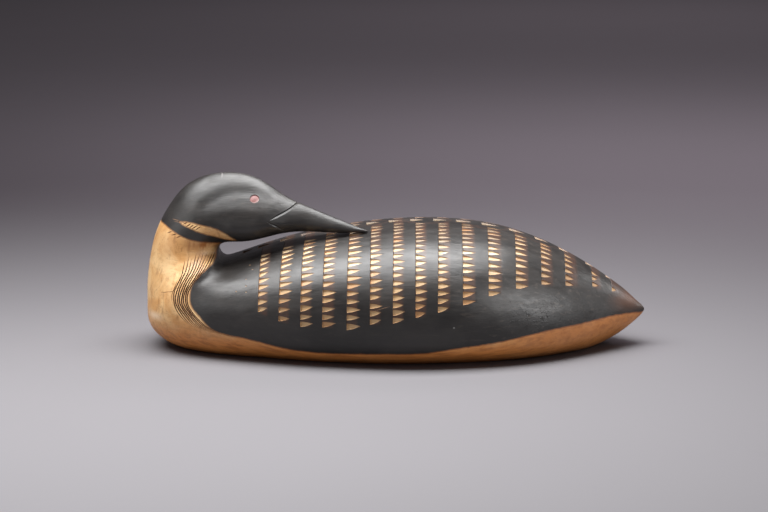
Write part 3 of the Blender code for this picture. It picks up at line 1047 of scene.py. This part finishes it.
def eye_paint():
    """Faded red paint, rubbed pale low on the bill's side with a painted highlight there, dark at the pupil and
    with painted shade at the upper rim.
    """
    graph = Graph("eye_paint")
    tone = graph.noise(graph.places(), 420, 4, 0.6)
    colour = graph.mix(graph.ramp(tone, 0.35, 0.7), EYE_RED, EYE_PALE)
    back, high = EYE_PLACE
    whole = (EYE_RADIUS * 1.9, EYE_RADIUS * 1.9)
    # Worn pale with a painted highlight low on the bill's side
    rubbed = graph.ramp(spot(graph, (back - 0.0014, high + 0.0040), whole), 0.24, 0.14, 0.0, 0.8)
    colour = graph.mix(rubbed, colour, EYE_RUBBED_AND_LIT)
    # Painted shade at the upper rim
    rim = graph.ramp(spot(graph, (back + 0.0018, high - 0.0020), whole), 0.34, 0.22, 0.0, 0.85)
    colour = graph.mix(rim, colour, EYE_DARK_AND_SHADE)
    pupil = ((back + 0.0004, high - 0.0008), (0.0014, 0.0014))
    colour = blot(graph, colour, pupil, 0.7, EYE_DARK_AND_SHADE)
    return graph.done(colour, graph.ramp(tone, 0.3, 0.7, 0.4, 0.55), graph.bump(tone, 0.0002, 0.5))


# Colours
TAN_LIGHT = rgb(222, 184, 132)
TAN_DEEP = rgb(198, 148, 92)
TAN_PALE = rgb(226, 196, 156)
TAN_BROWN = rgb(140, 92, 50)
# Painted shade under the head
HEAD_SHADE_BROWN = rgb(148, 92, 44)
# Painted shade in the corner at the slot's end
CORNER_SHADE = rgb(58, 40, 22)
WORN_PALE = rgb(232, 208, 176)
# The belly's own orange-brown with painted shade near the floor, more of it towards the tail
BELLY_LIGHT = rgb(204, 130, 66)
BELLY_DEEP = rgb(172, 103, 48)
BELLY_TAIL = rgb(112, 66, 34)
EDGE_BROWN = rgb(88, 46, 26)
# Dirt and painted shade in the grooves
DIRT_AND_SHADE = rgb(40, 24, 14)
BLACK_DEEP = rgb(30, 28, 27)
BLACK_WORN = rgb(48, 45, 43)
BLACK_BROWN = rgb(66, 53, 44)
BLACK_RUBBED = rgb(74, 66, 60)
# Painted shade on the paint low down
BLACK_LOW_SHADE = rgb(24, 22, 21)
STRIP_BROWN = rgb(82, 56, 44)
# Wear and a painted glint on the nick
NICK_WEAR_AND_GLINT = rgb(112, 108, 106)
# Wear and a painted sheen at the tail's tip
TAIL_WEAR_AND_SHEEN = rgb(96, 68, 54)
SPECK = rgb(150, 150, 148)
CUT_LIGHT = rgb(214, 195, 162)
CUT_MIDDLE = rgb(198, 171, 132)
CUT_LOW = rgb(182, 148, 106)
# Painted shade on the notches high up
CUT_HIGH_SHADE = rgb(148, 130, 110)
CUT_STAINED = rgb(176, 128, 84)
CUT_TAIL = rgb(136, 106, 78)
CUT_RIM = rgb(86, 54, 36)
# Dirt and painted shade in the grooves inside the black paint
SCORE_DIRT_AND_SHADE = rgb(58, 42, 34)
EYE_RED = rgb(110, 58, 54)
EYE_PALE = rgb(124, 79, 76)
# Wear and a painted highlight on the eye
EYE_RUBBED_AND_LIT = rgb(148, 125, 121)
# The dark pupil, and painted shade at the eye's upper rim
EYE_DARK_AND_SHADE = rgb(58, 34, 34)
# Painted shade on the ridge notches, and painted shadow under the head
RIDGE_SHADE = rgb(104, 86, 62)
RIDGE_HEAD_SHADOW = rgb(66, 48, 40)
FLOOR_GREY = rgb(115, 113, 116)
FLOOR_WORN = rgb(113, 111, 114)
WORLD_GREY = (0.13, 0.12, 0.13, 1)


# The bird

def make_bird():
    block = loft()
    surface = BVHTree.FromBMesh(block)
    mesh = bpy.data.meshes.new("carved_block")
    block.to_mesh(mesh)
    block.free()
    bird = bpy.data.objects.new("carved_block", mesh)
    bpy.context.scene.collection.objects.link(bird)
    draw = random.Random(SEED)
    for _ in range(4):
        mesh.materials.append(None)
    carve(bird, notches(surface, draw))
    carve(bird, score_lines(surface))
    carve(bird, groove_fan(surface, draw))
    carve(bird, cuts(surface))
    carve(bird, more_cuts(surface))
    carve(bird, low_bill_cuts(surface))
    keep_in_box(bird)
    mesh = bird.data
    for i, material in enumerate((painted_wood(), cut_wood(), groove_wood(), eye_paint())):
        mesh.materials[i] = material
    measure(bird, surface)
    mesh.shade_smooth()
    mesh.set_sharp_from_angle(angle=SHARP_ANGLE)
    bird.name = mesh.name = "carved_block"
    return bird


# Floor, lights and camera

def make_floor():
    bpy.ops.mesh.primitive_plane_add(size=60)
    floor = bpy.context.object
    floor.name = "floor"
    graph = Graph("floor_paper")
    tone = graph.noise(graph.places(), 3, 2)
    floor.data.materials.append(graph.done(graph.mix(tone, FLOOR_GREY, FLOOR_WORN), 0.9))


def aim(thing, target):
    thing.rotation_euler = (Vector(target) - thing.location).to_track_quat("-Z", "Y").to_euler()


def soft_light(name, place, target, size, brightness, colour=(1, 1, 1), along=(1, 0, 0)):
    """An area light with that width along a direction and that height, and of that radiance."""
    light = bpy.data.lights.new(name, "AREA")
    light.shape = "RECTANGLE"
    light.size, light.size_y = size
    light.energy = brightness * math.pi * size[0] * size[1]
    light.color = colour
    thing = bpy.data.objects.new(name, light)
    bpy.context.scene.collection.objects.link(thing)
    away = (Vector(place) - Vector(target)).normalized()
    width = (Vector(along) - away * away.dot(Vector(along))).normalized()
    turn = Matrix((width, away.cross(width), away)).transposed()
    thing.matrix_world = Matrix.Translation(place) @ turn.to_4x4()
    return light


def make_lights():
    overhead = soft_light(
        "overhead", (-0.28, -0.12, 1.10), (-0.22, -0.52, 0.0), (1.68, 0.62), 9.2, along=(1, 0.12, 0)
    )
    overhead.spread = math.radians(135)
    soft_light("backdrop", (0.55, 1.2, 1.3), (0.55, 2.0, 0.0), (1.6, 1.4), 3.3, (1.0, 0.88, 0.96))
    soft_light("far_backdrop", (0.9, 4.6, 2.2), (0.9, 5.0, 0.0), (1.8, 1.2), 2.2, (1.0, 0.86, 0.94))
    for name in ("backdrop", "far_backdrop"):
        bpy.context.scene.objects[name].visible_glossy = False
    soft_light("tail_card", (1.14, -0.78, 0.56), (0.16, -0.08, 0.06), (0.80, 0.44), 9.0)
    soft_light("tip_card", (1.23, 0.43, 0.64), (0.27, 0.0, 0.06), (0.30, 0.22), 12.0, along=(0, 1, 0))
    soft_light("left_card", (-1.8, -0.95, 0.72), (-0.2, -0.05, 0.08), (1.1, 0.9), 2.7, along=(0, 1, 0))
    cards = bpy.data.collections.new("lit_by_cards")
    cards.objects.link(bpy.data.objects["carved_block"])
    for name in ("tail_card", "tip_card", "left_card"):
        bpy.context.scene.objects[name].light_linking.receiver_collection = cards
    world = bpy.data.worlds.new("studio")
    world.use_nodes = True
    background = world.node_tree.nodes["Background"]
    background.inputs["Color"].default_value = WORLD_GREY
    background.inputs["Strength"].default_value = 1.0
    bpy.context.scene.world = world


def make_camera():
    camera = bpy.data.cameras.new("camera")
    camera.sensor_width = SENSOR
    camera.lens = SENSOR * CAMERA_DISTANCE / FRAME_WIDTH
    thing = bpy.data.objects.new("camera", camera)
    bpy.context.scene.collection.objects.link(thing)
    away = Vector((0, -math.cos(CAMERA_ELEVATION), math.sin(CAMERA_ELEVATION)))
    thing.location = Vector(CAMERA_TARGET) + away * CAMERA_DISTANCE
    aim(thing, CAMERA_TARGET)
    bpy.context.scene.camera = thing


make_camera()
bird = make_bird()
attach(bird, "root")
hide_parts("loon_decoy")
make_floor()
make_lights()
bpy.context.scene.view_settings.view_transform = "Standard"
